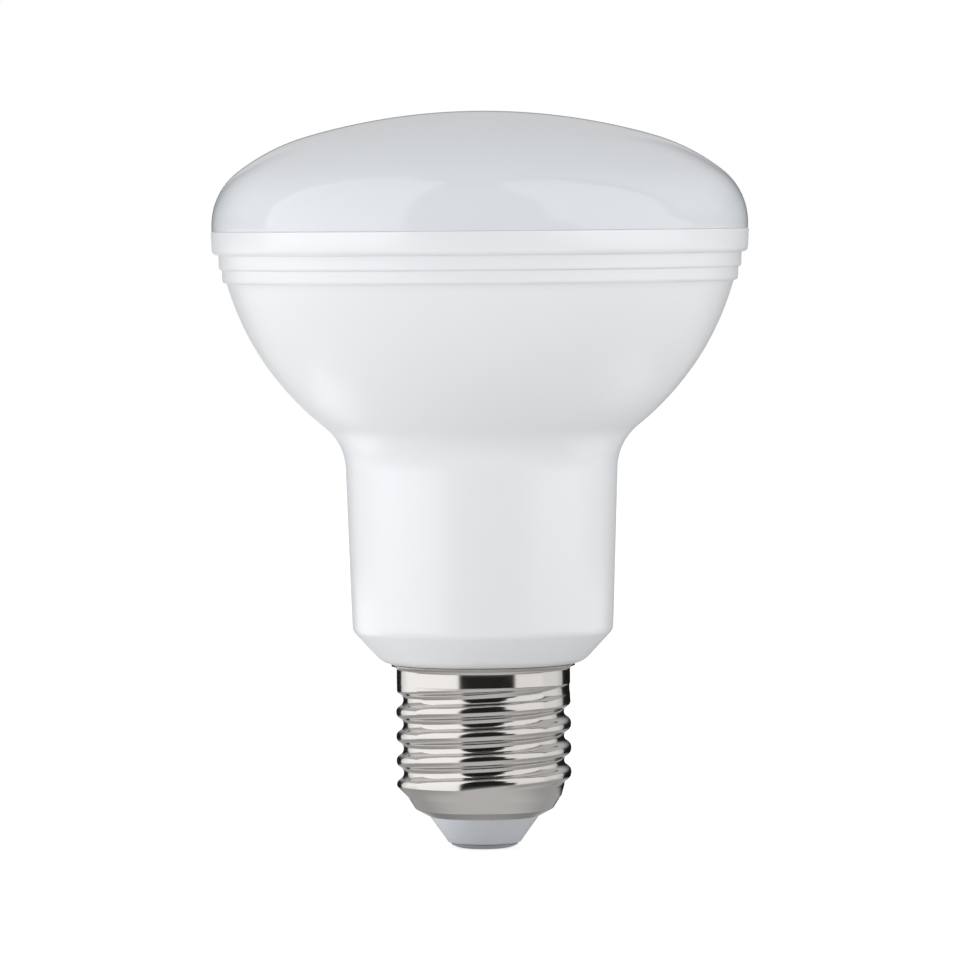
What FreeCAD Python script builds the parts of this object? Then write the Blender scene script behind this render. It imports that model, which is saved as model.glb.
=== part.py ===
"""Reflector bulb: an LED lamp of the 80 mm reflector size on a 27 mm screw cap.

Frame: millimetres, +Z up, Z axis on the lamp's axis of revolution, origin on the
lowest face of the centre contact. The cap points down and the light-giving dome up.

The lamp is made of the pieces that can be told apart from outside: a frosted dome,
a white moulded housing with a stub at its foot, a screw shell rolled from thin
sheet, an insulator and a centre contact. The sealed inside of the housing is solid.
"""

import math
import os

import FreeCAD, Part

# Frosted dome: crown, haunch and shoulder arcs that run into each other
dome_diameter = 79.7
dome_wall = 1.8
crown_radius = 92.5
crown_angle = 16.2
haunch_angle = 38.1
shoulder_radius = 9.9
shoulder_rise = 0.97

# Skirt of the dome, which snaps into the housing
skirt_inset = 2.55
skirt_wall = 1.3
skirt_depth = 4.0
skirt_lead = 0.4
seam_height = 0.25
seam_depth = 0.55
bead_drop = 2.2
bead_reach = 0.25
bead_width = 1.0
skirt_clearance = 0.06
skirt_end_clearance = 0.3

# Rim of the housing: three rings below the dome, each smaller than the one above it
rim_top = 92.0
rim_overhang = 0.1
rim_top_bevel = 0.12
ring_heights = [3.45, 2.2, 2.0]
ring_steps = [1.1, 0.5, 0.7]
ring_bevels = [0.7, 0.25, 0.4]
ring_draft = 0.15

# Bowl, neck and foot of the housing
bowl_radius = 42.1
bowl_centre_height = 95.8
neck_fillet = 8.3
neck_draft_angle = 1.965
foot_shoulder_diameter = 38.77
foot_shoulder_height = 32.5
foot_shoulder_round = 1.8
foot_bevel_angle = 43.0
foot_height = 27.55
foot_round = 3.4

# Screw shell: thin sheet, with a seven to the inch knuckle form on a 27 mm cap
sheet = 0.25
crest_diameter = 26.15
thread_depth = 1.1
thread_pitch = 25.4 / 7
root_count = 4
crest_flat = 1.0
root_flat = 0.9
collar_inset = 0.145
lip_reach = 0.77
lip_angle = 24.0
lip_clearance = 0.05
floor_height = 4.75
floor_hole_diameter = 16.4
floor_angle = 28.0
floor_width = 2.1
floor_round = 1.0
taper_height = 3.3
taper_bend_height = 1.78
taper_bend_width = 1.1

# Stub of the housing, which the shell is pushed over
stub_clearance = 0.05
stub_foot_rise = 0.4
stub_foot_bevel = 1.2

# Insulator, held by the rim of the hole in the shell's floor
insulator_clearance = 0.04
insulator_foot_diameter = 10.7
insulator_foot_height = 0.85
insulator_foot_bevel = 0.25
insulator_flange_reach = 1.15
insulator_flange_height = 1.6

# Centre contact: a round head on a shank that is pressed into the insulator
contact_inset = 0.4
contact_edge_height = 0.5
contact_bevel_height = 0.15
contact_bevel_width = 0.8
contact_flat_diameter = 5.6
shank_diameter = 3.2
shank_clearance = 0.02
shank_length = 5.6


def tangent(angle):
    """Tangent of an angle in degrees."""
    return math.tan(math.radians(angle))


def point(radius, height):
    """Point of a half section, at a radius and a height."""
    return FreeCAD.Vector(radius, 0, height)


def polar(centre, radius, angle):
    """Point on a circle of a half section, with the angle taken from straight up."""
    turn = math.radians(angle)
    return centre + FreeCAD.Vector(radius * math.sin(turn), 0, radius * math.cos(turn))


def line(start, end):
    """Straight edge between two points."""
    return Part.LineSegment(start, end).toShape()


def arc_about(centre, radius, start_angle, end_angle):
    """Round edge about a centre, between two angles taken from straight up."""
    middle = polar(centre, radius, (start_angle + end_angle) / 2)
    ends = polar(centre, radius, start_angle), polar(centre, radius, end_angle)
    return Part.Arc(ends[0], middle, ends[1]).toShape()


def rounded_corner(before, corner, after, radius):
    """Start, middle and end of the arc that rounds the corner of two straight runs."""
    way_in = (before - corner).normalize()
    way_out = (after - corner).normalize()
    half = way_in.getAngle(way_out) / 2
    reach = radius / math.tan(half)
    centre = corner + (way_in + way_out).normalize() * (radius / math.sin(half))
    middle = centre + (corner - centre).normalize() * radius
    return corner + way_in * reach, middle, corner + way_out * reach


def chain(corners):
    """Edges along (radius, height) or (radius, height, rounding) corners, as one run."""
    points = [point(corner[0], corner[1]) for corner in corners]
    edges = []
    here = points[0]
    for k in range(1, len(points) - 1):
        if len(corners[k]) == 2:
            edges.append(line(here, points[k]))
            here = points[k]
            continue
        start, middle, end = rounded_corner(points[k - 1], points[k], points[k + 1], corners[k][2])
        edges.append(line(here, start))
        edges.append(Part.Arc(start, middle, end).toShape())
        here = end
    edges.append(line(here, points[-1]))
    return edges


def turned(edges):
    """Solid turned about the lamp's axis from the closed half section of the edges."""
    face = Part.Face(Part.Wire(edges))
    return face.revolve(FreeCAD.Vector(), FreeCAD.Vector(0, 0, 1), 360)


def dome_arcs():
    """Centres of the dome's crown, haunch and shoulder arcs, and the haunch's radius."""
    crown_lean = math.sin(math.radians(crown_angle))
    haunch_lean = math.sin(math.radians(haunch_angle))
    left_over = dome_diameter / 2 - crown_radius * crown_lean - shoulder_radius * (1 - haunch_lean)
    haunch_radius = left_over / (haunch_lean - crown_lean)
    shoulder = point(dome_diameter / 2 - shoulder_radius, rim_top + shoulder_rise)
    haunch = polar(shoulder, shoulder_radius - haunch_radius, haunch_angle)
    crown = polar(haunch, haunch_radius - crown_radius, crown_angle)
    return crown, haunch, shoulder, haunch_radius


def diffuser():
    """Frosted dome with a snap skirt, and a fine groove where it meets the housing."""
    crown, haunch, shoulder, haunch_radius = dome_arcs()
    flange_top = rim_top + dome_wall
    inner_radius = shoulder_radius - dome_wall
    inner_end = math.degrees(math.acos((flange_top - shoulder.z) / inner_radius))
    inner_corner = polar(shoulder, inner_radius, inner_end)
    crown_top = crown.z + crown_radius
    outer = dome_diameter / 2
    skirt = outer - skirt_inset
    skirt_end = rim_top - skirt_depth
    bead = rim_top - bead_drop
    edges = [
        arc_about(crown, crown_radius, 0, crown_angle),
        arc_about(haunch, haunch_radius, crown_angle, haunch_angle),
        arc_about(shoulder, shoulder_radius, haunch_angle, 90),
    ]
    edges += chain([
        (outer, shoulder.z),
        (outer, rim_top + seam_height),
        (outer - seam_depth, rim_top + seam_height),
        (outer - seam_depth, rim_top),
        (skirt, rim_top),
        (skirt, bead + bead_width / 2),
        (skirt + bead_reach, bead),
        (skirt, bead - bead_width / 2),
        (skirt, skirt_end + skirt_lead),
        (skirt - skirt_lead, skirt_end),
        (skirt - skirt_wall, skirt_end),
        (skirt - skirt_wall, flange_top),
        (inner_corner.x, flange_top),
    ])
    edges += [
        arc_about(shoulder, inner_radius, inner_end, haunch_angle),
        arc_about(haunch, haunch_radius - dome_wall, haunch_angle, crown_angle),
        arc_about(crown, crown_radius - dome_wall, crown_angle, 0),
        line(point(0, crown_top - dome_wall), point(0, crown_top)),
    ]
    return turned(edges)


def rim_corners():
    """Corners of the three stepped rings, from the rim's top down to the bowl."""
    ring = dome_diameter / 2 + rim_overhang
    corners = [(ring - rim_top_bevel, rim_top), (ring, rim_top - rim_top_bevel)]
    height = rim_top
    for drop, step, bevel in zip(ring_heights, ring_steps, ring_bevels):
        height -= drop
        foot = ring - ring_draft
        ring -= step
        corners.append((foot, height + bevel))
        corners.append((foot - bevel, height))
        corners.append((ring, height))
    return corners


def neck_radius(height):
    """Radius of the drafted neck at a height."""
    return foot_shoulder_diameter / 2 + (height - foot_shoulder_height) * tangent(neck_draft_angle)


def fillet_centre(bowl_centre):
    """Centre of the fillet that runs into both the bowl's arc and the neck's side."""
    lean = tangent(neck_draft_angle)
    foot = neck_radius(0) + neck_fillet * math.hypot(1, lean) - bowl_centre.x
    reach = bowl_radius + neck_fillet
    a = 1 + lean * lean
    b = foot * lean - bowl_centre.z
    c = foot * foot + bowl_centre.z ** 2 - reach * reach
    height = (-b - math.sqrt(b * b - a * c)) / a
    return point(bowl_centre.x + foot + lean * height, height)


def housing():
    """White moulding: socket for the dome, stepped rim, bowl, neck, foot and stub."""
    bore = dome_diameter / 2 - skirt_inset + skirt_clearance
    deck = rim_top - skirt_depth - skirt_end_clearance
    groove = rim_top - bead_drop
    groove_half = bead_width / 2 + skirt_clearance
    rim = rim_corners()
    bowl_top = point(*rim[-1])
    drop = bowl_centre_height - bowl_top.z
    bowl_centre = point(bowl_top.x - math.sqrt(bowl_radius ** 2 - drop ** 2), bowl_centre_height)
    fillet = fillet_centre(bowl_centre)
    way = fillet - bowl_centre
    bowl_start = math.degrees(math.acos(-drop / bowl_radius))
    bowl_end = math.degrees(math.atan2(way.x, way.z))
    neck_top = polar(fillet, neck_fillet, 270 + neck_draft_angle)
    foot_radius = foot_shoulder_diameter / 2 - (foot_shoulder_height - foot_height) * tangent(foot_bevel_angle)
    stub = crest_diameter / 2 - thread_depth - sheet - stub_clearance
    stub_foot = thread_foot() + stub_foot_rise
    edges = chain([
        (0, deck),
        (bore, deck),
        (bore, groove - groove_half),
        (bore + bead_reach, groove),
        (bore, groove + groove_half),
        (bore, rim_top),
    ] + rim)
    edges += [
        arc_about(bowl_centre, bowl_radius, bowl_start, bowl_end),
        arc_about(fillet, neck_fillet, bowl_end + 180, 270 + neck_draft_angle),
    ]
    edges += chain([
        (neck_top.x, neck_top.z),
        (foot_shoulder_diameter / 2, foot_shoulder_height, foot_shoulder_round),
        (foot_radius, foot_height, foot_round),
        (stub, foot_height),
        (stub, stub_foot + stub_foot_bevel),
        (stub - stub_foot_bevel, stub_foot),
        (0, stub_foot),
        (0, deck),
    ])
    return turned(edges)


def floor_corner():
    """Corner between the shell's sloping floor and its taper."""
    return floor_hole_diameter / 2 + floor_width, floor_height + floor_width * tangent(floor_angle)


def thread_foot():
    """Height where the lowest crest of the shell meets the taper."""
    return floor_corner()[1] + taper_height


def taper_bend():
    """Corner where the taper grows steeper towards the floor."""
    radius, height = floor_corner()
    return radius + taper_bend_width, height + taper_bend_height


def knuckle_corners():
    """Corners of the knuckle form's outside, from the collar down to the taper."""
    crest = crest_diameter / 2
    root = crest - thread_depth
    half_groove = (thread_pitch - crest_flat) / 2
    corners = []
    for k in reversed(range(root_count)):
        middle = thread_foot() + half_groove + k * thread_pitch
        top = crest - collar_inset if k == root_count - 1 else crest
        corners.append((top, middle + half_groove))
        corners.append((root, middle + root_flat / 2))
        corners.append((root, middle - root_flat / 2))
        corners.append((crest, middle - half_groove))
    return corners


def shell_line():
    """Corners of the sheet's outside line, from the flared lip down to the floor's hole."""
    collar = crest_diameter / 2 - collar_inset
    lip = collar + lip_reach
    lip_tip = foot_height - lip_clearance - sheet * math.cos(math.radians(lip_angle))
    lip_foot = lip_tip - lip_reach * tangent(lip_angle)
    return (
        [(lip, lip_tip), (collar, lip_foot)]
        + knuckle_corners()
        + [taper_bend(), (*floor_corner(), floor_round), (floor_hole_diameter / 2, floor_height)]
    )


def screw_shell():
    """Rolled sheet cap: flared lip, plain collar, knuckles, taper and a holed floor."""
    outside = Part.Wire(chain(shell_line()))
    section = outside.makeOffset2D(-sheet, 2, True, True)
    return section.revolve(FreeCAD.Vector(), FreeCAD.Vector(0, 0, 1), 360)


def insulator():
    """Pale cone below the shell, with a flange that the shell's floor holds inside."""
    neck = floor_hole_diameter / 2 - insulator_clearance
    foot = insulator_foot_diameter / 2
    bore = shank_diameter / 2 + shank_clearance
    flange = floor_hole_diameter / 2 + insulator_flange_reach
    seat = floor_height + sheet / math.cos(math.radians(floor_angle)) + insulator_clearance
    seat_edge = seat + (flange - neck) * tangent(floor_angle)
    top = seat + insulator_flange_height
    return turned(chain([
        (bore, insulator_foot_height),
        (foot - insulator_foot_bevel, insulator_foot_height),
        (foot, insulator_foot_height + insulator_foot_bevel),
        (neck, floor_height),
        (neck, seat),
        (flange, seat_edge),
        (flange, top),
        (bore, top),
        (bore, insulator_foot_height),
    ]))


def centre_contact():
    """Round contact with a flat face and a bevelled edge, on a shank in the insulator."""
    edge = insulator_foot_diameter / 2 - contact_inset
    shank = shank_diameter / 2
    head_top = insulator_foot_height
    shank_end = head_top + shank_length
    return turned(chain([
        (0, 0),
        (contact_flat_diameter / 2, 0),
        (edge - contact_bevel_width, contact_bevel_height),
        (edge, contact_edge_height),
        (edge, head_top),
        (shank, head_top),
        (shank, shank_end),
        (0, shank_end),
        (0, 0),
    ]))


os.makedirs("parts", exist_ok=True)
pieces = {
    "diffuser": diffuser(),
    "housing": housing(),
    "screw_shell": screw_shell(),
    "insulator": insulator(),
    "centre_contact": centre_contact(),
}
for name, piece in pieces.items():
    box = piece.BoundBox
    print(name, piece.isValid(), round(piece.Volume, 1), round(box.ZMin, 3), round(box.ZMax, 3), round(box.XLength, 3))
    piece.exportStep("parts/" + name + ".step")
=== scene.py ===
"""Studio scene of a reflector bulb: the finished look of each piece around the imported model.

Lengths are written in millimetres, as a lamp maker would, and become metres in the mesh.
The lamp stands upright on its axis, Z up, with the centre contact's face at height 0.
"""
import logging
import math
from dataclasses import dataclass, field
from enum import Enum
from typing import Optional, Union

import bpy
from mathutils import Matrix, Vector


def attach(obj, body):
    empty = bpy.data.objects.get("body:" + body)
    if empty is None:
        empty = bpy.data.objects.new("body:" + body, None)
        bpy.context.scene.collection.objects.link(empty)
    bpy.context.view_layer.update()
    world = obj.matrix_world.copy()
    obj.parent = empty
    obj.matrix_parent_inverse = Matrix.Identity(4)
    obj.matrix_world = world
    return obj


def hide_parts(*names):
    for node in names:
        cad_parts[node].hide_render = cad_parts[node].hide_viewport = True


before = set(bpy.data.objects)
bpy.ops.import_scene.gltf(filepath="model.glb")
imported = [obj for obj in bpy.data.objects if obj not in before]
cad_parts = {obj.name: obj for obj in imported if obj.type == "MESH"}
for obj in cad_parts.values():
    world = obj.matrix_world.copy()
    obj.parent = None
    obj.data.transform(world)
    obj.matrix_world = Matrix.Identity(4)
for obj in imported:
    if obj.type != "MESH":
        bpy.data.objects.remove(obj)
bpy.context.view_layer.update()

MM = 0.001
BODY = "root"
TURN = 2 * math.pi
LOG = logging.getLogger("reflector_bulb")

# Points of a section closer than this, in mm, and of a mesh, in metres, are one point.
SAME_POINT = 1e-5
SAME_VERTEX = 1e-7
FEWEST_ARC_STEPS = 3

# Places of the colour sockets on a Mix node, where the names are shared with its other kinds.
MIX_SHARE, MIX_LOW, MIX_HIGH, MIX_RESULT = 0, 6, 7, 2

# A noise texture's middle value, and how many finer layers smooth and patchy noise have.
NOISE_MIDDLE = 0.5
SMOOTH = 1.0
PATCHY = 3.0

Number = Union[int, float]
Point = tuple[float, float]
Heights = tuple[float, float]
Colour = tuple[float, float, float]


def grey(value: float) -> tuple[float, float, float, float]:
    """A plain grey for a shader's colour socket."""
    return value, value, value, 1.0


class Socket:
    """A shader value that can be written in plain sums, such as 1 - mask * 0.5."""

    def __init__(self, tree: "ShaderTree", output: bpy.types.NodeSocket) -> None:
        """Wraps a node's output.

        Args:
            tree: The tree that the node stands in.
            output: The node's output socket.
        """
        self.tree = tree
        self.output = output

    def _math(self, operation: str, *values: Union["Socket", Number]) -> "Socket":
        """Adds one Math node that works on the given values."""
        return self.tree.node("ShaderNodeMath", {"operation": operation}, dict(enumerate(values)))

    def __add__(self, other: Union["Socket", Number]) -> "Socket":
        """Sum."""
        return self._math("ADD", self, other)

    def __radd__(self, other: Number) -> "Socket":
        """Sum with a plain number on the left."""
        return self._math("ADD", other, self)

    def __sub__(self, other: Union["Socket", Number]) -> "Socket":
        """Difference."""
        return self._math("SUBTRACT", self, other)

    def __rsub__(self, other: Number) -> "Socket":
        """Difference from a plain number."""
        return self._math("SUBTRACT", other, self)

    def __mul__(self, other: Union["Socket", Number]) -> "Socket":
        """Product."""
        return self._math("MULTIPLY", self, other)

    def __rmul__(self, other: Number) -> "Socket":
        """Product with a plain number on the left."""
        return self._math("MULTIPLY", other, self)

    def __neg__(self) -> "Socket":
        """Opposite sign."""
        return self._math("MULTIPLY", self, -1)

    def step(self, edge: float, width: float) -> "Socket":
        """Rises smoothly from 0 to 1 across an edge.

        Args:
            edge: Value at which the step is halfway.
            width: Full width of the rise.

        Returns:
            The step as a value from 0 to 1.
        """
        ends = {"Value": self, "From Min": edge - width / 2, "From Max": edge + width / 2}
        return self.tree.node("ShaderNodeMapRange", {"interpolation_type": "SMOOTHSTEP"}, ends)


class ShaderTree:
    """The nodes of one material or of the world."""

    def __init__(self, owner: Union[bpy.types.Material, bpy.types.World]) -> None:
        """Starts an empty node tree.

        Args:
            owner: The material or world that gets the nodes.
        """
        owner.use_nodes = True
        self.nodes = owner.node_tree.nodes
        self.links = owner.node_tree.links
        self.nodes.clear()

    def node(
        self,
        kind: str,
        settings: Optional[dict] = None,
        inputs: Optional[dict] = None,
        output: Union[str, int] = 0,
    ) -> Optional[Socket]:
        """Adds a node, sets it and fills its sockets.

        Args:
            kind: The node's type.
            settings: The node's own settings, set first.
            inputs: Values or sockets by input name or place.
            output: Name or place of the output that is handed back.

        Returns:
            The chosen output, or None if the node ends the tree.
        """
        made = self.nodes.new(kind)
        for name, value in (settings or {}).items():
            setattr(made, name, value)
        for name, value in (inputs or {}).items():
            if isinstance(value, Socket):
                self.links.new(value.output, made.inputs[name])
            else:
                made.inputs[name].default_value = value
        return Socket(self, made.outputs[output]) if len(made.outputs) else None

    def place(self) -> Socket:
        """Position on the piece, in metres in the lamp's own frame."""
        return self.node("ShaderNodeTexCoord", output="Object")

    def split(self, vector: Socket) -> tuple[Socket, Socket, Socket]:
        """The three parts of a vector."""
        first = self.node("ShaderNodeSeparateXYZ", inputs={0: vector})
        outputs = first.output.node.outputs
        return first, Socket(self, outputs[1]), Socket(self, outputs[2])

    def noise(self, vector: Socket, size_mm: float, detail: float = 2.0) -> Socket:
        """Soft noise with grains of a real size.

        Args:
            vector: Where it is read, in metres.
            size_mm: Size of its grains.
            detail: How many finer layers it has.

        Returns:
            The noise, about 0.5 on average.
        """
        inputs = {"Vector": vector, "Scale": 1 / (size_mm * MM), "Detail": detail}
        return self.node("ShaderNodeTexNoise", inputs=inputs)

    def scaled(self, vector: Socket, scale: tuple[float, float, float]) -> Socket:
        """The vector stretched along its axes."""
        return self.node("ShaderNodeVectorMath", {"operation": "MULTIPLY"}, {0: vector, 1: scale})

    def blend(self, share: Socket, low: Colour, high: Colour) -> Socket:
        """Colour between two colours.

        Args:
            share: How much of the second colour there is, from 0 to 1.
            low: The first colour.
            high: The second colour.

        Returns:
            The blended colour.
        """
        inputs = {MIX_SHARE: share, MIX_LOW: (*low, 1), MIX_HIGH: (*high, 1)}
        return self.node("ShaderNodeMix", {"data_type": "RGBA"}, inputs, MIX_RESULT)

    def relief(self, height: Socket, depth_mm: float) -> Socket:
        """Normal of a surface with a fine relief.

        Args:
            height: The relief, from 0 to 1.
            depth_mm: Its depth.

        Returns:
            The bumped normal.
        """
        return self.node("ShaderNodeBump", inputs={"Height": height, "Distance": depth_mm * MM})


@dataclass(frozen=True)
class Edge:
    """Soft edge between two lights or looks: its middle and the full width of its change."""

    middle: float
    width: float

    def past(self, value: Socket) -> Socket:
        """Is 1 past the edge and 0 before it."""
        return value.step(self.middle, self.width)

    def before(self, value: Socket) -> Socket:
        """Is 1 before the edge and 0 past it."""
        return 1 - self.past(value)

    def in_metres(self) -> "Edge":
        """The same edge, from millimetres to metres."""
        return Edge(self.middle * MM, self.width * MM)


@dataclass(frozen=True)
class Band:
    """Band between two soft edges of one width."""

    low: float
    high: float
    width: float

    def across(self, value: Socket) -> Socket:
        """Is 1 in the band and 0 beside it."""
        return Edge(self.low, self.width).past(value) * Edge(self.high, self.width).before(value)

    def beside(self, value: Socket) -> Socket:
        """Is 0 in the band and 1 beside it."""
        return 1 - self.across(value)

    def in_metres(self) -> "Band":
        """The same band, from millimetres to metres."""
        return Band(self.low * MM, self.high * MM, self.width * MM)


class Gloss(Enum):
    """Kinds of surface that the lamp's pieces have."""

    PLASTIC = 0.0
    METAL = 1.0


@dataclass(frozen=True)
class Finish:
    """What all finishes share: name, colour, roughness, kind of gloss and a little unevenness.

    Grains and depths are in millimetres.
    """

    name: str
    colour: Colour
    roughness: float
    gloss: Gloss = Gloss.PLASTIC
    refraction: float = 1.48
    shade: float = 0.985
    shade_grain: float = 9.0
    wear: float = 0.02
    wear_grain: float = 3.0
    relief_grain: float = 2.0
    relief_depth: float = 0.002

    def colour_node(self, tree: ShaderTree) -> Socket:
        """Colour over the surface. A plain finish varies it a little."""
        darker = tuple(part * self.shade for part in self.colour)
        return tree.blend(tree.noise(tree.place(), self.shade_grain), darker, self.colour)

    def roughness_node(self, tree: ShaderTree) -> Socket:
        """Roughness over the surface, a little uneven."""
        uneven = tree.noise(tree.place(), self.wear_grain) - NOISE_MIDDLE
        return self.roughness + uneven * self.wear

    def normal_node(self, tree: ShaderTree) -> Socket:
        """Normal over the surface, with its fine relief."""
        return tree.relief(tree.noise(tree.place(), self.relief_grain), self.relief_depth)

    def constants(self) -> dict[str, float]:
        """Shader values that are the same all over the surface."""
        return {"Metallic": self.gloss.value, "IOR": self.refraction}

    def material(self) -> bpy.types.Material:
        """Builds the finish.

        Returns:
            The new material.
        """
        made = bpy.data.materials.new(self.name)
        tree = ShaderTree(made)
        inputs = {
            "Base Color": self.colour_node(tree),
            "Roughness": self.roughness_node(tree),
            "Normal": self.normal_node(tree),
        }
        inputs.update(self.constants())
        shader = tree.node("ShaderNodeBsdfPrincipled", inputs=inputs)
        tree.node("ShaderNodeOutputMaterial", inputs={"Surface": shader})
        return made


@dataclass(frozen=True)
class FrostedDome(Finish):
    """Satin, faintly blue plastic of the dome, with an even etched grain."""

    relief_grain: float = 7.0
    relief_depth: float = 0.004
    etching: float = 0.15
    etching_grain: float = 0.12

    def normal_node(self, tree: ShaderTree) -> Socket:
        """Etched grain on a slow moulding wave."""
        etched = tree.noise(tree.place(), self.etching_grain, SMOOTH)
        wave = tree.noise(tree.place(), self.relief_grain, SMOOTH)
        return tree.relief(etched * self.etching + wave, self.relief_depth)


@dataclass(frozen=True)
class GlossyMoulding(Finish):
    """Glossy white plastic of the housing, with a faint orange peel."""

    refraction: float = 1.52
    relief_grain: float = 1.6
    relief_depth: float = 0.0015
    pearl: float = 0.05

    def normal_node(self, tree: ShaderTree) -> Socket:
        """Faint orange peel."""
        peel = tree.noise(tree.place(), self.relief_grain, SMOOTH)
        return tree.relief(peel, self.relief_depth)

    def constants(self) -> dict[str, float]:
        """Adds the pearl of the white pigment, which mirrors evenly from all sides."""
        return {**super().constants(), "Metallic": self.pearl}


@dataclass(frozen=True)
class RolledNickel(Finish):
    """Nickel-plated sheet, with fine rolling lines that run round the cap."""

    wear: float = 0.08
    wear_grain: float = 5.0
    relief_grain: float = 3.5
    relief_depth: float = 0.006
    line_grain: float = 0.05
    line_stretch: tuple[float, float, float] = (0.06, 0.06, 1.0)
    line_wear: float = 0.06
    line_relief: float = 0.25
    tarnish: Colour = (0.62, 0.59, 0.54)
    tarnish_grain: float = 4.0
    tarnish_start: Edge = Edge(0.62, 0.3)
    tarnish_share: float = 0.35

    def lines(self, tree: ShaderTree) -> Socket:
        """Fine lines round the cap, uneven along their length."""
        return tree.noise(tree.scaled(tree.place(), self.line_stretch), self.line_grain)

    def colour_node(self, tree: ShaderTree) -> Socket:
        """Bright plate with a trace of tarnish in patches."""
        patches = self.tarnish_start.past(tree.noise(tree.place(), self.tarnish_grain, PATCHY))
        return tree.blend(patches * self.tarnish_share, self.colour, self.tarnish)

    def roughness_node(self, tree: ShaderTree) -> Socket:
        """Roughness that follows the rolling lines and the worn patches."""
        lines = (self.lines(tree) - NOISE_MIDDLE) * self.line_wear
        worn = (tree.noise(tree.place(), self.wear_grain, PATCHY) - NOISE_MIDDLE) * self.wear
        return self.roughness + lines + worn

    def normal_node(self, tree: ShaderTree) -> Socket:
        """Rolling lines and slow dents of thin sheet."""
        dents = tree.noise(tree.place(), self.relief_grain, SMOOTH)
        return tree.relief(self.lines(tree) * self.line_relief + dents, self.relief_depth)


FROSTED = FrostedDome("frosted_dome", (0.77, 0.795, 0.83), 0.05)
WHITE = GlossyMoulding("white_housing", (0.90, 0.92, 0.94), 0.30)
NICKEL = RolledNickel("nickel_shell", (0.65, 0.627, 0.605), 0.13, Gloss.METAL)
PALE = Finish("pale_insulator", (0.69, 0.71, 0.75), 0.34)
CONTACT = RolledNickel("nickel_contact", (0.60, 0.62, 0.65), 0.75, Gloss.METAL)


@dataclass
class Section:
    """Half section of a turned piece, drawn as a run of radius and height points in mm."""

    points: list[Point] = field(default_factory=list)

    def to(self, radius: float, height: float) -> "Section":
        """Adds one point, unless the run stands there already."""
        if not self.points or math.dist(self.points[-1], (radius, height)) > SAME_POINT:
            self.points.append((radius, height))
        return self

    def rows(self, radius: float, height: float, spacing: float) -> "Section":
        """Runs straight to a point in even rows.

        Args:
            radius: Radius of the end.
            height: Height of the end.
            spacing: Largest distance between two rows.

        Returns:
            The section, for more points.
        """
        start = self.points[-1]
        count = max(1, math.ceil(math.dist(start, (radius, height)) / spacing))
        for k in range(1, count + 1):
            share = k / count
            self.to(start[0] + (radius - start[0]) * share, start[1] + (height - start[1]) * share)
        return self

    def arc(
        self, centre: Point, radius: float, start: float, end: float, spacing: float
    ) -> "Section":
        """Adds an arc about a centre, with angles in degrees from straight up.

        Args:
            centre: Radius and height of the arc's centre.
            radius: The arc's radius.
            start: Angle of its first point.
            end: Angle of its last point.
            spacing: Largest distance between two points.

        Returns:
            The section, for more points.
        """
        length = abs(math.radians(end - start)) * radius
        count = max(FEWEST_ARC_STEPS, math.ceil(length / spacing))
        for k in range(count + 1):
            angle = math.radians(start + (end - start) * k / count)
            self.to(centre[0] + radius * math.sin(angle), centre[1] + radius * math.cos(angle))
        return self

    def corner(self, corner: Point, after: Point, radius: float, steps: int = 4) -> "Section":
        """Rounds a corner between the last point and the next one.

        Args:
            corner: The sharp corner.
            after: The point that the run goes on to.
            radius: Radius of the rounding.
            steps: Number of pieces in the rounding.

        Returns:
            The section, for more points.
        """
        tip = Vector(corner)
        way_in = (Vector(self.points[-1]) - tip).normalized()
        way_out = (Vector(after) - tip).normalized()
        half = way_in.angle(way_out) / 2
        reach = radius / math.tan(half)
        centre = tip + (way_in + way_out).normalized() * (radius / math.sin(half))
        start = tip + way_in * reach - centre
        end = tip + way_out * reach - centre
        for k in range(steps + 1):
            spoke = centre + start.slerp(end, k / steps) * radius
            self.to(spoke.x, spoke.y)
        return self


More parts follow.
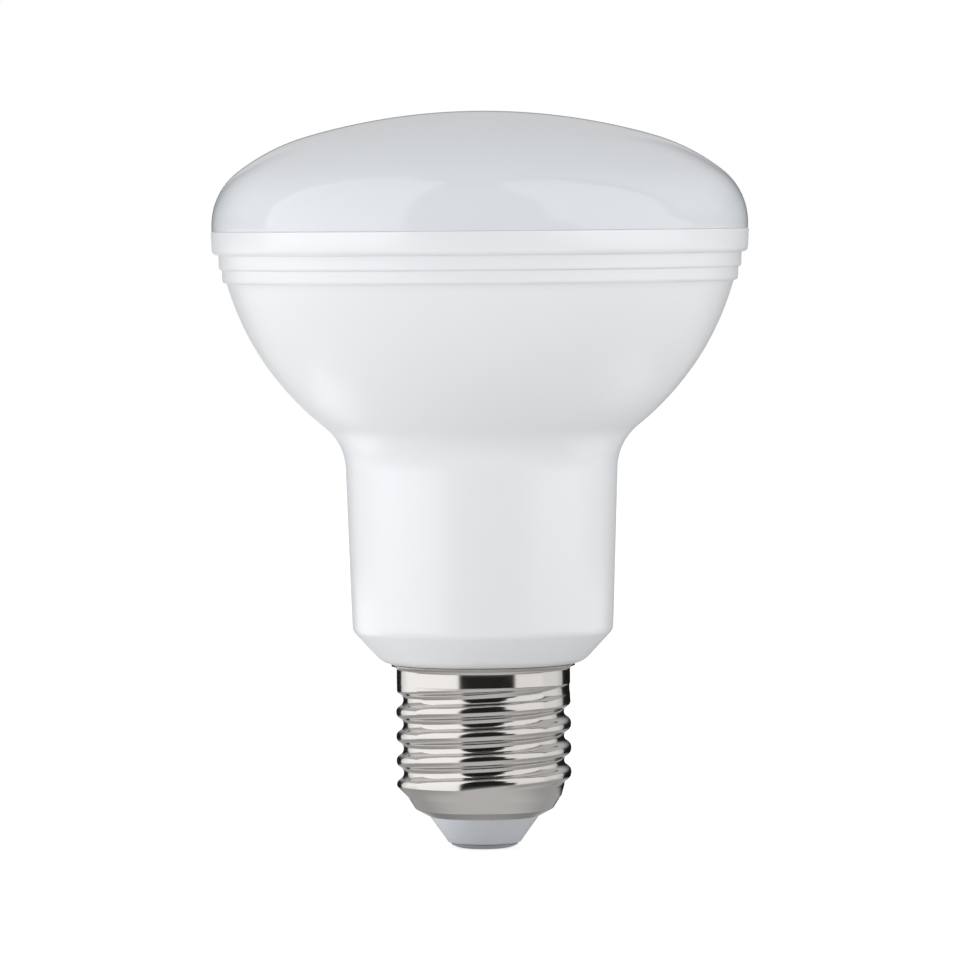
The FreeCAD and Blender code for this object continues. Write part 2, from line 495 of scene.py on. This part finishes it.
class Piece:
    """Base of the lamp's pieces: turned from a half section, dressed and put on its body."""

    node: str = ""
    slot: str = ""
    finish: Finish = WHITE
    steps: int = 240
    sharp_angle: float = 32.0

    def section(self) -> Section:
        """Half section of the piece."""
        raise NotImplementedError

    def turn(self) -> bpy.types.Object:
        """Draws the half section by extruding a point along it, then spins it round the axis.

        Returns:
            The new mesh object, still plain.
        """
        points = self.section().points
        bpy.ops.object.select_all(action="DESELECT")
        bpy.ops.mesh.primitive_plane_add(size=MM, location=(0, 0, 0))
        made = bpy.context.object
        made.name = made.data.name = "lamp_" + self.node
        bpy.ops.object.mode_set(mode="EDIT")
        bpy.ops.mesh.select_all(action="SELECT")
        bpy.ops.mesh.merge(type="CENTER")
        start = points[0]
        bpy.ops.transform.translate(value=(start[0] * MM, 0, start[1] * MM))
        for before, after in zip(points, points[1:]):
            move = ((after[0] - before[0]) * MM, 0, (after[1] - before[1]) * MM)
            bpy.ops.mesh.extrude_region_move(TRANSFORM_OT_translate={"value": move})
        bpy.ops.mesh.select_all(action="SELECT")
        bpy.ops.mesh.remove_doubles(threshold=SAME_VERTEX)
        bpy.ops.mesh.select_all(action="SELECT")
        bpy.ops.mesh.spin(steps=self.steps, angle=TURN, center=(0, 0, 0), axis=(0, 0, 1))
        bpy.ops.mesh.select_all(action="SELECT")
        bpy.ops.mesh.remove_doubles(threshold=SAME_VERTEX)
        bpy.ops.mesh.normals_make_consistent(inside=False)
        bpy.ops.object.mode_set(mode="OBJECT")
        return made

    def shape(self) -> bpy.types.Object:
        """Makes the piece's mesh."""
        return self.turn()

    def build(self) -> bpy.types.Object:
        """Makes, smooths, dresses and seats the piece.

        Returns:
            The finished object.
        """
        made = self.shape()
        bpy.ops.object.select_all(action="DESELECT")
        made.select_set(True)
        bpy.context.view_layer.objects.active = made
        bpy.ops.object.shade_smooth_by_angle(angle=math.radians(self.sharp_angle))
        made.data.materials.clear()
        made.data.materials.append(self.finish.material())
        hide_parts(self.node)
        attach(made, BODY)
        LOG.info("%s: %d faces", made.name, len(made.data.polygons))
        return made


@dataclass
class Dome(Piece):
    """Frosted dome with its snap skirt."""

    diameter: float = 79.7
    wall: float = 1.8
    crown_radius: float = 92.5
    crown_angle: float = 16.2
    haunch_angle: float = 38.1
    shoulder_radius: float = 9.9
    shoulder_height: float = 92.97
    rim_top: float = 92.0
    skirt_inset: float = 2.55
    skirt_wall: float = 1.3
    skirt_depth: float = 4.0
    seam_height: float = 0.05
    seam_depth: float = 0.12
    edge_round: float = 0.08
    crown_spacing: float = 1.6
    haunch_spacing: float = 1.2
    shoulder_spacing: float = 0.7
    inside_coarser: float = 2.0

    node = "diffuser"
    slot = "frosted_dome"
    finish = FROSTED

    def arcs(self) -> tuple[Point, Point, Point, float]:
        """Works out how the dome's arcs run into each other.

        Returns:
            Centres of crown, haunch and shoulder, and the haunch's radius.
        """
        outer = self.diameter / 2
        crown_lean = math.sin(math.radians(self.crown_angle))
        haunch_lean = math.sin(math.radians(self.haunch_angle))
        crown_reach = self.crown_radius * crown_lean
        rest = outer - crown_reach - self.shoulder_radius * (1 - haunch_lean)
        haunch_radius = rest / (haunch_lean - crown_lean)
        shoulder = (outer - self.shoulder_radius, self.shoulder_height)
        haunch = self.along(shoulder, self.shoulder_radius - haunch_radius, self.haunch_angle)
        crown = self.along(haunch, haunch_radius - self.crown_radius, self.crown_angle)
        return crown, haunch, shoulder, haunch_radius

    @staticmethod
    def along(start: Point, distance: float, angle: float) -> Point:
        """The point at a distance and an angle from straight up."""
        turn = math.radians(angle)
        return start[0] + distance * math.sin(turn), start[1] + distance * math.cos(turn)

    def section(self) -> Section:
        """Crown to rim outside, skirt, and back to the axis inside."""
        crown, haunch, shoulder, haunch_radius = self.arcs()
        crown_angle, haunch_angle = self.crown_angle, self.haunch_angle
        outer = self.diameter / 2
        seam_top = self.rim_top + self.seam_height
        seam = outer - self.seam_depth
        skirt = outer - self.skirt_inset
        skirt_end = self.rim_top - self.skirt_depth
        inner = skirt - self.skirt_wall
        flange = self.rim_top + self.wall
        inner_shoulder = self.shoulder_radius - self.wall
        inner_end = math.degrees(math.acos((flange - shoulder[1]) / inner_shoulder))
        inner_haunch = haunch_radius - self.wall
        inner_crown = self.crown_radius - self.wall
        rough = self.inside_coarser
        line = Section()
        line.arc(crown, self.crown_radius, 0, crown_angle, self.crown_spacing)
        line.arc(haunch, haunch_radius, crown_angle, haunch_angle, self.haunch_spacing)
        line.arc(shoulder, self.shoulder_radius, haunch_angle, 90, self.shoulder_spacing)
        line.corner((outer, seam_top), (seam, seam_top), self.edge_round)
        line.to(seam, seam_top).to(seam, self.rim_top).to(skirt, self.rim_top)
        line.to(skirt, skirt_end).to(inner, skirt_end).to(inner, flange)
        line.arc(shoulder, inner_shoulder, inner_end, haunch_angle, self.shoulder_spacing * rough)
        line.arc(haunch, inner_haunch, haunch_angle, crown_angle, self.haunch_spacing * rough)
        line.arc(crown, inner_crown, crown_angle, 0, self.crown_spacing * rough)
        return line


@dataclass
class Housing(Piece):
    """White moulding with stepped rim, bowl, neck, foot and stub."""

    rim_top: float = 92.0
    rim_radius: float = 39.95
    ring_heights: tuple[float, ...] = (3.45, 2.2, 2.0)
    ring_steps: tuple[float, ...] = (1.1, 0.5, 0.7)
    ring_rounds: tuple[float, ...] = (0.8, 0.4, 0.55)
    ring_drafts: tuple[float, ...] = (0.15, 0.05, 0.05)
    rim_top_round: float = 0.12
    bore: float = 37.36
    deck: float = 87.7
    bowl_radius: float = 42.1
    bowl_centre_height: float = 95.8
    bowl_start_gap: float = 0.3
    bowl_spacing: float = 1.0
    neck_fillet: float = 8.3
    fillet_spacing: float = 0.5
    neck_draft: float = 1.965
    neck_end: Point = (0.04, 1.2)
    neck_spacing: float = 2.0
    shoulder_radius: float = 19.385
    shoulder_height: float = 32.5
    shoulder_round: float = 1.8
    bevel_angle: float = 43.0
    foot_height: float = 27.55
    foot_round: float = 3.4
    stub_radius: float = 11.675
    stub_foot: float = 9.57
    ring_top_steps: int = 3
    ring_foot_steps: int = 6
    round_steps: int = 8

    node = "housing"
    slot = "white_housing"
    finish = WHITE

    def neck_radius(self, height: float) -> float:
        """Radius of the drafted neck at a height."""
        lean = math.tan(math.radians(self.neck_draft))
        return self.shoulder_radius + (height - self.shoulder_height) * lean

    def fillet_centre(self, bowl: Point) -> Point:
        """Centre of the fillet that runs into both the bowl and the neck.

        Args:
            bowl: Centre of the bowl's arc.

        Returns:
            The fillet's centre.
        """
        lean = math.tan(math.radians(self.neck_draft))
        foot = self.neck_radius(0) + self.neck_fillet * math.hypot(1, lean) - bowl[0]
        reach = self.bowl_radius + self.neck_fillet
        a = 1 + lean * lean
        b = foot * lean - bowl[1]
        c = foot * foot + bowl[1] ** 2 - reach * reach
        height = (-b - math.sqrt(b * b - a * c)) / a
        return bowl[0] + foot + lean * height, height

    def rings(self, line: Section) -> Point:
        """Draws the three stepped rings.

        Args:
            line: The section so far, up to the rim's inner edge.

        Returns:
            The point where the bowl starts.
        """
        ring = self.rim_radius
        height = self.rim_top
        rings = zip(self.ring_heights, self.ring_steps, self.ring_rounds, self.ring_drafts)
        for drop, step, rounding, draft in rings:
            foot = ring - draft
            next_top = (foot, height - drop)
            line.corner((ring, height), next_top, self.rim_top_round, self.ring_top_steps)
            height -= drop
            ring -= step
            line.corner((foot, height), (ring, height), rounding, self.ring_foot_steps)
        return ring, height

    def section(self) -> Section:
        """The whole outline, from the socket's deck round the outside to the stub."""
        line = Section()
        line.to(0, self.deck).to(self.bore, self.deck).to(self.bore, self.rim_top)
        top = self.rings(line)
        drop = self.bowl_centre_height - top[1]
        bowl = (top[0] - math.sqrt(self.bowl_radius ** 2 - drop ** 2), self.bowl_centre_height)
        fillet = self.fillet_centre(bowl)
        start = math.degrees(math.acos(-drop / self.bowl_radius)) + self.bowl_start_gap
        end = math.degrees(math.atan2(fillet[0] - bowl[0], fillet[1] - bowl[1]))
        fillet_end = 270 + self.neck_draft
        line.arc(bowl, self.bowl_radius, start, end, self.bowl_spacing)
        line.arc(fillet, self.neck_fillet, end + 180, fillet_end, self.fillet_spacing)
        bevel = math.tan(math.radians(self.bevel_angle))
        shoulder = (self.shoulder_radius, self.shoulder_height)
        foot_radius = self.shoulder_radius - (self.shoulder_height - self.foot_height) * bevel
        foot = (foot_radius, self.foot_height)
        stub = (self.stub_radius, self.foot_height)
        neck_end = (shoulder[0] + self.neck_end[0], shoulder[1] + self.neck_end[1])
        line.rows(*neck_end, self.neck_spacing)
        line.corner(shoulder, foot, self.shoulder_round, self.round_steps)
        line.corner(foot, stub, self.foot_round, self.round_steps)
        line.to(*stub).to(self.stub_radius, self.stub_foot).to(0, self.stub_foot)
        line.to(0, self.deck)
        return line


@dataclass
class ScrewShell(Piece):
    """Cap of thin nickel-plated sheet, drawn as a plain cup and rolled with its thread."""

    sheet: float = 0.25
    crest: float = 13.075
    depth: float = 1.1
    pitch: float = 25.4 / 7
    collar_inset: float = 0.145
    collar_foot: float = 0.3
    collar_spacing: float = 0.5
    lip_reach: float = 0.77
    lip_angle: float = 24.0
    lip_top: float = 27.5
    lip_bend: float = 0.5
    lip_steps: int = 8
    front_crest: float = 21.2
    run_out_top: Heights = (24.5, 22.6)
    run_out_foot: Heights = (8.1, 9.3)
    crest_start: Heights = (22.6, 20.6)
    softness: float = 0.08
    thread_spacing: float = 0.13
    taper_top: float = 9.35
    taper_bend: Point = (11.4, 7.65)
    bend_round: float = 2.0
    bend_steps: int = 6
    corner: Point = (10.3, 5.87)
    corner_gap: float = 0.4
    floor_round: float = 1.0
    floor_steps: int = 10
    floor_spacing: float = 0.4
    hole: float = 8.2
    floor_height: float = 4.75

    node = "screw_shell"
    slot = "nickel_shell"
    finish = NICKEL
    sharp_angle = 55.0

    def section(self) -> Section:
        """Outside line of the plain cup, from the lip to the hole in the floor."""
        collar = self.crest - self.collar_inset
        tip = (collar + self.lip_reach, self.lip_top - self.sheet)
        bend = (collar, tip[1] - self.lip_reach * math.tan(math.radians(self.lip_angle)))
        collar_foot = (collar, self.run_out_top[0] + self.collar_foot)
        hole = (self.hole, self.floor_height)
        line = Section()
        line.to(*tip)
        line.corner(bend, collar_foot, self.lip_bend, self.lip_steps)
        line.rows(*collar_foot, self.collar_spacing)
        line.rows(self.crest, self.taper_top, self.thread_spacing)
        line.corner(self.taper_bend, self.corner, self.bend_round, self.bend_steps)
        line.corner(self.corner, hole, self.floor_round, self.floor_steps)
        line.rows(*hole, self.floor_spacing)
        return line

    def knuckle(self, phase: float) -> float:
        """Radius of the knuckle thread, drawn by two arcs of one radius that meet.

        Args:
            phase: Place along the thread, 0 at a crest and 0.5 at a root.

        Returns:
            The radius there.
        """
        half = self.pitch / 2
        knuckle = (half * half + self.depth * self.depth) / (4 * self.depth)
        off_crest = abs((phase - round(phase)) * self.pitch)
        if off_crest <= half / 2:
            return self.crest - knuckle + math.sqrt(knuckle ** 2 - off_crest ** 2)
        off_root = half - off_crest
        return self.crest - self.depth + knuckle - math.sqrt(knuckle ** 2 - off_root ** 2)

    def rolled_radius(self, blank: float, height: float, turn: float) -> float:
        """Radius after rolling: the thread, run out at both ends and cut off by the taper.

        Args:
            blank: Radius of the plain cup there.
            height: Height of the point.
            turn: Place round the axis from the front, in turns towards the right.

        Returns:
            The rolled radius.
        """
        place = (height - self.front_crest) / self.pitch - turn
        root = height + (math.floor(place) + 0.5 - place) * self.pitch
        depth = self.ramp(root, *self.run_out_top) * self.ramp(root, *self.run_out_foot)
        crest = self.crest - self.collar_inset * (1 - self.ramp(height, *self.crest_start))
        knuckle = self.knuckle(place)
        thread = self.softer(self.crest + (knuckle - self.crest) * depth, crest)
        near_taper = height < self.taper_top + self.pitch / 2
        return self.softer(thread, blank) if near_taper else thread

    def softer(self, first: float, second: float) -> float:
        """The smaller of two radii, with a soft change from one to the other."""
        gap = first - second
        return 0.5 * (first + second - math.sqrt(gap * gap + self.softness ** 2))

    @staticmethod
    def ramp(height: float, start: float, end: float) -> float:
        """Rises smoothly from 0 at one height to 1 at another."""
        share = min(1.0, max(0.0, (height - start) / (end - start)))
        return share * share * (3 - 2 * share)

    def roll_thread(self, made: bpy.types.Object) -> None:
        """Presses the thread into the plain cup.

        Args:
            made: The cup.
        """
        lowest = (self.corner[1] + self.corner_gap) * MM
        highest = self.run_out_top[0] * MM
        for vertex in made.data.vertices:
            x, y, z = vertex.co
            if not lowest < z < highest:
                continue
            blank = math.hypot(x, y)
            turn = math.atan2(x, -y) / TURN
            radius = self.rolled_radius(blank / MM, z / MM, turn) * MM
            vertex.co.x *= radius / blank
            vertex.co.y *= radius / blank

    def shape(self) -> bpy.types.Object:
        """Cup, thread, then the sheet's thickness inwards. The open cup is spun facing inwards."""
        made = self.turn()
        self.roll_thread(made)
        bpy.ops.object.mode_set(mode="EDIT")
        bpy.ops.mesh.select_all(action="SELECT")
        bpy.ops.mesh.flip_normals()
        bpy.ops.object.mode_set(mode="OBJECT")
        wall = made.modifiers.new("sheet", "SOLIDIFY")
        wall.thickness = self.sheet * MM
        wall.offset = -1.0
        bpy.ops.object.modifier_apply(modifier=wall.name)
        return made


@dataclass
class Insulator(Piece):
    """Pale cone under the shell, with its flange inside."""

    neck: float = 8.16
    neck_round: float = 0.1
    neck_steps: int = 3
    shell_floor: float = 4.75
    seat: float = 5.073
    flange: float = 9.35
    flange_seat: float = 5.706
    top: float = 6.673
    bore: float = 1.62
    foot: float = 5.35
    foot_height: float = 0.85
    foot_round: float = 0.3
    foot_steps: int = 6

    node = "insulator"
    slot = "pale_insulator"
    finish = PALE
    steps = 160

    def section(self) -> Section:
        """Foot, cone, groove for the shell's floor, flange and bore."""
        foot = (self.foot, self.foot_height)
        groove = (self.neck, self.shell_floor)
        seat = (self.neck, self.seat)
        line = Section()
        line.to(self.bore, self.foot_height)
        line.corner(foot, groove, self.foot_round, self.foot_steps)
        line.corner(groove, seat, self.neck_round, self.neck_steps)
        line.to(*seat).to(self.flange, self.flange_seat).to(self.flange, self.top)
        line.to(self.bore, self.top).to(self.bore, self.foot_height)
        return line


@dataclass
class CentreContact(Piece):
    """Round contact with a rolled edge, on its shank."""

    edge: float = 4.95
    flat: float = 2.8
    edge_height: float = 0.55
    edge_spacing: float = 0.2
    top: float = 0.85
    top_round: float = 0.2
    shank: float = 1.6
    shank_top: float = 6.45

    node = "centre_contact"
    slot = "nickel_contact"
    finish = CONTACT
    steps = 128

    def section(self) -> Section:
        """Flat face, rolled edge, head and shank."""
        reach = self.edge - self.flat
        radius = (reach ** 2 + self.edge_height ** 2) / (2 * self.edge_height)
        end = 180 - math.degrees(math.asin(reach / radius))
        line = Section()
        line.to(0, 0)
        line.arc((self.flat, radius), radius, 180, end, self.edge_spacing)
        line.corner((self.edge, self.top), (self.shank, self.top), self.top_round)
        line.to(self.shank, self.top).to(self.shank, self.shank_top).to(0, self.shank_top)
        line.to(0, 0)
        return line


@dataclass(frozen=True)
class Panel:
    """Soft light panel, given by the directions in which it is seen from the lamp.

    Directions are in degrees: round the lamp from the camera, left negative, and above the
    horizon. Mirrors see its light, and matt surfaces get its fill.
    """

    light: float
    fill: float
    sides: Band
    lean: float = 0.0
    foot: float = 0.0
    leaning: Edge = Edge(50.0, 40.0)
    foot_top: Edge = Edge(4.0, 8.0)
    top: Edge = Edge(74.0, 6.0)

    def seen(self, azimuth: Socket, height: Socket) -> Socket:
        """Where the panel is seen from the lamp, as a value from 0 to 1.

        Args:
            azimuth: Direction round the lamp.
            height: Height of the direction above the horizon.

        Returns:
            1 on the panel and 0 beside it.
        """
        lean = self.leaning.past(height) * self.lean
        across = azimuth + lean - self.foot_top.before(height) * self.foot
        return self.sides.across(across) * self.top.before(height)


@dataclass(frozen=True)
class Card:
    """Bright card that stands beside the screw cap, outside the lamp's box, for mirrors only.

    It stands on the line from start to end, seen from above, and is dimmer towards the back.
    """

    name: str
    light: float
    start: Point
    end: Point
    low: float
    high: float
    dimming: Edge
    dimmed: float = 0.28

    def finish(self) -> bpy.types.Material:
        """Glow of the card.

        Returns:
            The card's material.
        """
        made = bpy.data.materials.new(self.name)
        tree = ShaderTree(made)
        _, back, _ = tree.split(tree.place())
        light = self.light * (1 - self.dimming.in_metres().past(back) * self.dimmed)
        glow = tree.node("ShaderNodeEmission", inputs={"Strength": light})
        tree.node("ShaderNodeOutputMaterial", inputs={"Surface": glow})
        made.cycles.emission_sampling = "NONE"
        return made

    def build(self) -> None:
        """Stands the card upright, with its place in the mesh."""
        start, end = Vector(self.start), Vector(self.end)
        middle = (start + end) / 2
        run = end - start
        bpy.ops.object.select_all(action="DESELECT")
        bpy.ops.mesh.primitive_plane_add(size=MM, location=(0, 0, 0))
        bpy.ops.object.mode_set(mode="EDIT")
        bpy.ops.mesh.select_all(action="SELECT")
        bpy.ops.transform.resize(value=(run.length, self.high - self.low, 1))
        bpy.ops.transform.rotate(value=math.pi / 2, orient_axis="X")
        bpy.ops.object.mode_set(mode="OBJECT")
        made = bpy.context.object
        place = Matrix.Translation(Vector((*middle, (self.low + self.high) / 2)) * MM)
        made.data.transform(place @ Matrix.Rotation(math.atan2(run.y, run.x), 4, "Z"))
        made.name = self.name
        made.visible_camera = made.visible_diffuse = made.visible_shadow = False
        made.data.materials.append(self.finish())


@dataclass(frozen=True)
class MirroredFloor:
    """The floor as mirrors see it, by directions from the lamp in degrees.

    It is pale near the camera and greyer far off. Beside the lamp it is brighter along its edge.
    Deep behind the lamp it lies in the lamp's own shade.
    """

    near_light: float = 0.66
    far_light: float = 0.44
    near_depth: Edge = Edge(48.0, 36.0)
    near_sides: Band = Band(-42.0, 42.0, 36.0)
    left_gain: float = 0.8
    right_gain: float = 0.3
    left_to_right: Edge = Edge(0.0, 10.0)
    gain_depth: Edge = Edge(14.0, 10.0)
    shade: float = 0.36
    shade_sides: Band = Band(-158.0, 158.0, 12.0)
    shade_depth: Band = Band(22.0, 70.0, 14.0)
    edge: Edge = Edge(0.0, 8.0)
    edge_depth: float = 10.0
    open_depth: float = 4.0

    def light(self, azimuth: Socket, depth: Socket, front: Socket, open_side: Socket) -> Socket:
        """The floor's light.

        Args:
            azimuth: Direction round the lamp.
            depth: Depth of the direction below the horizon.
            front: Is 1 on the camera's side.
            open_side: Is 1 behind the lamp, where no wing stands.

        Returns:
            The light from each direction.
        """
        near = 1 - self.near_depth.before(depth) * self.near_sides.beside(azimuth)
        pale = self.far_light + near * (self.near_light - self.far_light)
        to_right = self.left_to_right.past(azimuth)
        gain = self.left_gain + to_right * (self.right_gain - self.left_gain)
        beside = open_side * (gain + 1) + front - 1
        shaded = self.shade_sides.beside(azimuth) * self.shade_depth.across(depth)
        lit = pale * (1 + self.gain_depth.before(depth) * beside)
        return lit * (1 - shaded * self.shade)

    def seen(self, height: Socket, open_side: Socket) -> Socket:
        """Where the floor is seen: its edge lies higher where no wing stands.

        Args:
            height: Height of the direction above the horizon.
            open_side: Is 1 behind the lamp, where no wing stands.

        Returns:
            1 on the floor and 0 above it.
        """
        lift = open_side * (self.edge_depth - self.open_depth)
        return self.edge.past(lift - height - self.edge_depth)


@dataclass(frozen=True)
class MirroredRoom:
    """The room as mirrors see it, by directions from the lamp in degrees.

    Behind the lamp stands a grey wall with two dark wings in front of it. Overhead and above
    the camera there is a little light, and the rest is dark.
    """

    front: Band = Band(-100.0, 95.0, 10.0)
    left_wing: Band = Band(-168.0, -141.0, 5.0)
    right_wing: Band = Band(130.0, 172.0, 5.0)
    wing_top: Edge = Edge(17.0, 24.0)
    wall_light: float = 0.58
    wall_foot: Edge = Edge(5.5, 9.0)
    wall_ends: Band = Band(-150.0, 150.0, 10.0)
    end_dimming: float = 0.5
    overhead: Edge = Edge(78.0, 16.0)
    overhead_light: float = 0.30
    above_camera: Band = Band(54.0, 62.0, 5.0)
    above_camera_sides: Band = Band(-36.0, 46.0, 8.0)
    above_camera_light: float = 0.2
    dark: float = 0.01
    floor: MirroredFloor = MirroredFloor()

    def light(self, azimuth: Socket, height: Socket, panels: Socket) -> Socket:
        """Light that mirrors see, with the panels.

        Args:
            azimuth: Direction round the lamp.
            height: Height of the direction above the horizon.
            panels: Light of both panels.

        Returns:
            The light from each direction.
        """
        front = self.front.across(azimuth)
        wings = self.left_wing.across(azimuth) + self.right_wing.across(azimuth)
        open_side = (1 - front) * (1 - wings)
        dimmed = wings + self.wall_ends.across(azimuth) * (1 - wings) * self.end_dimming
        shown = 1 - dimmed * self.wing_top.before(height)
        wall = self.wall_foot.past(height) * (1 - front) * shown
        top = self.overhead.past(height) * front * self.overhead_light
        above_camera = self.above_camera_sides.across(azimuth) * self.above_camera.across(height)
        behind = wall * self.wall_light + top
        room = panels + behind + above_camera * self.above_camera_light + self.dark
        floor = self.floor.light(azimuth, -height, front, open_side)
        return room + self.floor.seen(height, open_side) * (floor - room)


@dataclass(frozen=True)
class Floor:
    """Real floor under the lamp: it takes the shadow and lights the lamp from below.

    Mirrors don't see it. They see the world's own floor. The camera sees it white.
    """

    size: float = 6000.0
    drop: float = 0.02
    bounce: float = 0.62
    strip: Band = Band(8.0, 22.0, 5.0)
    strip_glow: float = 0.5
    left: Edge = Edge(50.0, 90.0)
    left_glow: float = 0.56
    right: Edge = Edge(100.0, 100.0)
    right_glow: float = 0.48
    shown_bounce: float = 0.5
    shown_glow: float = 0.75

    def surface(self, tree: ShaderTree, bounce: float, glow: Union[Socket, Number]) -> Socket:
        """A matt grey surface that also glows.

        Args:
            tree: The floor's nodes.
            bounce: How much light it throws back.
            glow: How much light it gives by itself.

        Returns:
            The shader.
        """
        matt = tree.node("ShaderNodeBsdfDiffuse", inputs={"Color": grey(bounce)})
        glowing = tree.node("ShaderNodeEmission", inputs={"Strength": glow})
        return tree.node("ShaderNodeAddShader", inputs={0: matt, 1: glowing})

    def finish(self) -> bpy.types.Material:
        """White to the camera, with the lamp's soft shadow. To the lamp it is lit at its sides.

        Returns:
            The floor's material.
        """
        made = bpy.data.materials.new("pale_floor")
        tree = ShaderTree(made)
        right, _, _ = tree.split(tree.place())
        left = -right
        strip = self.strip.in_metres().across(left) * self.strip_glow
        left_side = self.left.in_metres().past(left) * self.left_glow
        right_side = self.right.in_metres().past(right) * self.right_glow
        lit = self.surface(tree, self.bounce, strip + left_side + right_side)
        shown = self.surface(tree, self.shown_bounce, self.shown_glow)
        seen = tree.node("ShaderNodeLightPath", output="Is Camera Ray")
        both = tree.node("ShaderNodeMixShader", inputs={0: seen, 1: lit, 2: shown})
        tree.node("ShaderNodeOutputMaterial", inputs={"Surface": both})
        made.cycles.emission_sampling = "NONE"
        return made

    def build(self) -> None:
        """Lays the floor at the height of the contact's face."""
        bpy.ops.object.select_all(action="DESELECT")
        place = (0, 0, -self.drop * MM)
        bpy.ops.mesh.primitive_plane_add(size=self.size * MM, location=place)
        made = bpy.context.object
        made.name = "floor"
        made.visible_glossy = False
        made.data.materials.append(self.finish())


@dataclass(frozen=True)
class Studio:
    """Soft studio: far panels and near cards at both sides, a pale floor, a white backdrop."""

    left: Panel = Panel(1.32, 1.28, Band(-104.0, -32.5, 4.0))
    right: Panel = Panel(1.06, 1.27, Band(29.0, 89.0, 4.0), lean=13.0, foot=13.5)
    cards: tuple[Card, ...] = (
        Card("left_card", 1.3, (-69.1, 2.1), (-50.0, 42.3), 4.4, 35.5, Edge(30.0, 24.0)),
        Card("right_card", 0.95, (68.8, -13.7), (57.8, 33.1), 4.4, 37.0, Edge(22.0, 24.0)),
    )
    room: MirroredRoom = MirroredRoom()
    floor: Floor = Floor()
    fill: float = 1.05
    fill_drop: float = 0.68
    camera_side: Band = Band(-30.0, 30.0, 40.0)
    camera_side_dip: float = 0.14
    backdrop: float = 1.0

    def world(self) -> None:
        """Builds the light that comes from all round, white where the camera looks."""
        world = bpy.data.worlds.new("studio")
        bpy.context.scene.world = world
        tree = ShaderTree(world)
        x, y, z = tree.split(tree.node("ShaderNodeTexCoord", output="Generated"))
        degrees = math.degrees(1)
        azimuth = tree.node("ShaderNodeMath", {"operation": "ARCTAN2"}, {0: x, 1: -y}) * degrees
        height = tree.node("ShaderNodeMath", {"operation": "ARCSINE"}, {0: z}) * degrees
        left = self.left.seen(azimuth, height)
        right = self.right.seen(azimuth, height)
        panels = left * self.left.light + right * self.right.light
        mirrored = self.room.light(azimuth, height, panels)
        side_fill = left * self.left.fill + right * self.right.fill
        dip = self.camera_side.across(azimuth) * self.camera_side_dip
        fill = (self.fill - self.fill_drop * z) * (1 - dip) + side_fill * (1 - z)
        seen = tree.node("ShaderNodeLightPath", output="Is Camera Ray")
        glossy = Socket(tree, seen.output.node.outputs["Is Glossy Ray"])
        light = fill + glossy * (mirrored - fill)
        studio, white = (
            tree.node("ShaderNodeBackground", inputs={"Color": grey(1.0), "Strength": strength})
            for strength in (light, self.backdrop)
        )
        both = tree.node("ShaderNodeMixShader", inputs={0: seen, 1: studio, 2: white})
        tree.node("ShaderNodeOutputWorld", inputs={"Surface": both})

    def build(self) -> None:
        """Builds the light, the floor and the cards, and keeps the view's colours plain."""
        self.world()
        self.floor.build()
        for card in self.cards:
            card.build()
        bpy.context.scene.view_settings.view_transform = "Standard"
        LOG.info("studio ready")


@dataclass(frozen=True)
class Camera:
    """Long lens a little above the lamp's rim, turned slightly as the photograph is."""

    distance: float = 1050.0
    elevation: float = 2.25
    lens: float = 264.6
    sensor: float = 36.0
    target_height: float = 54.83
    target_right: float = -0.265
    roll: float = -0.46

    def build(self) -> None:
        """Sets the camera up and makes it the scene's own."""
        lean = math.radians(self.elevation)
        back = Vector((0, -math.cos(lean), math.sin(lean)))
        target = Vector((self.target_right, 0, self.target_height)) * MM
        data = bpy.data.cameras.new("camera")
        data.lens = self.lens
        data.sensor_width = self.sensor
        made = bpy.data.objects.new("camera", data)
        bpy.context.scene.collection.objects.link(made)
        place = Matrix.Translation(target + back * self.distance * MM)
        facing = (-back).to_track_quat("-Z", "Y").to_matrix().to_4x4()
        made.matrix_world = place @ facing @ Matrix.Rotation(math.radians(self.roll), 4, "Z")
        bpy.context.scene.camera = made


def main() -> None:
    """Builds the studio, the camera and the lamp's pieces in order."""
    logging.basicConfig(level=logging.INFO, format="%(message)s")
    Studio().build()
    Camera().build()
    for piece in (Dome(), Housing(), ScrewShell(), Insulator(), CentreContact()):
        piece.build()


if __name__ == "__main__":
    main()
